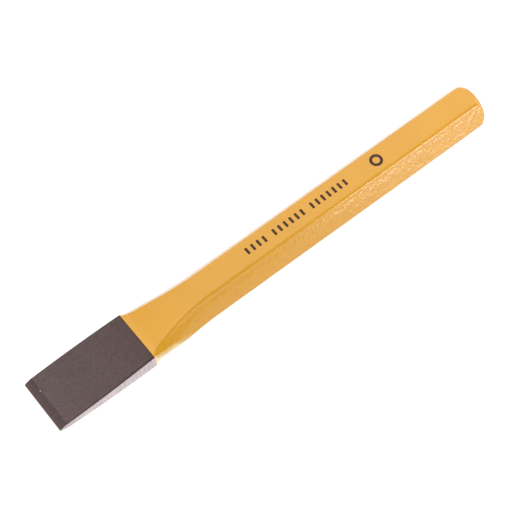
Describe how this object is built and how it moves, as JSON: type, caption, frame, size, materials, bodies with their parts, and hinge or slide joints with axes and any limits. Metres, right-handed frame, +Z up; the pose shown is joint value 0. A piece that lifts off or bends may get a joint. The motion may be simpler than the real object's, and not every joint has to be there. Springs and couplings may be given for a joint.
{
  "type": "flat cold chisel",
  "caption": "Flat cold chisel forged in one piece from hexagon bar, with a wedge blade, a flared neck, an enamelled shank and a chamfered struck head.",
  "frame": {"origin": "under the middle of the tool's length, on the surface that its lower flat lies on", "axes": "+X along the tool from the cutting edge to the struck head, +Y across the blade, +Z up through the top flat"},
  "size_m": [0.2, 0.0222, 0.017],
  "materials": {
    "ground_steel": "ground steel with fine cross grinding lines on the blade's sides",
    "yellow_enamel": "satin yellow enamel, brushed on the forging with slight orange peel and pits",
    "dark_blade_finish": "smooth dark bronze hardening finish under thin lacquer",
    "printing_ink": "matt dark brown printing ink"
  },
  "bodies": {
    "root": {"forged_steel_body": "ground_steel", "shank_enamel": "yellow_enamel", "blade_dark_finish": "dark_blade_finish", "printed_marks": "printing_ink", "printed_ring": "printing_ink"}
  },
  "joints": []
}
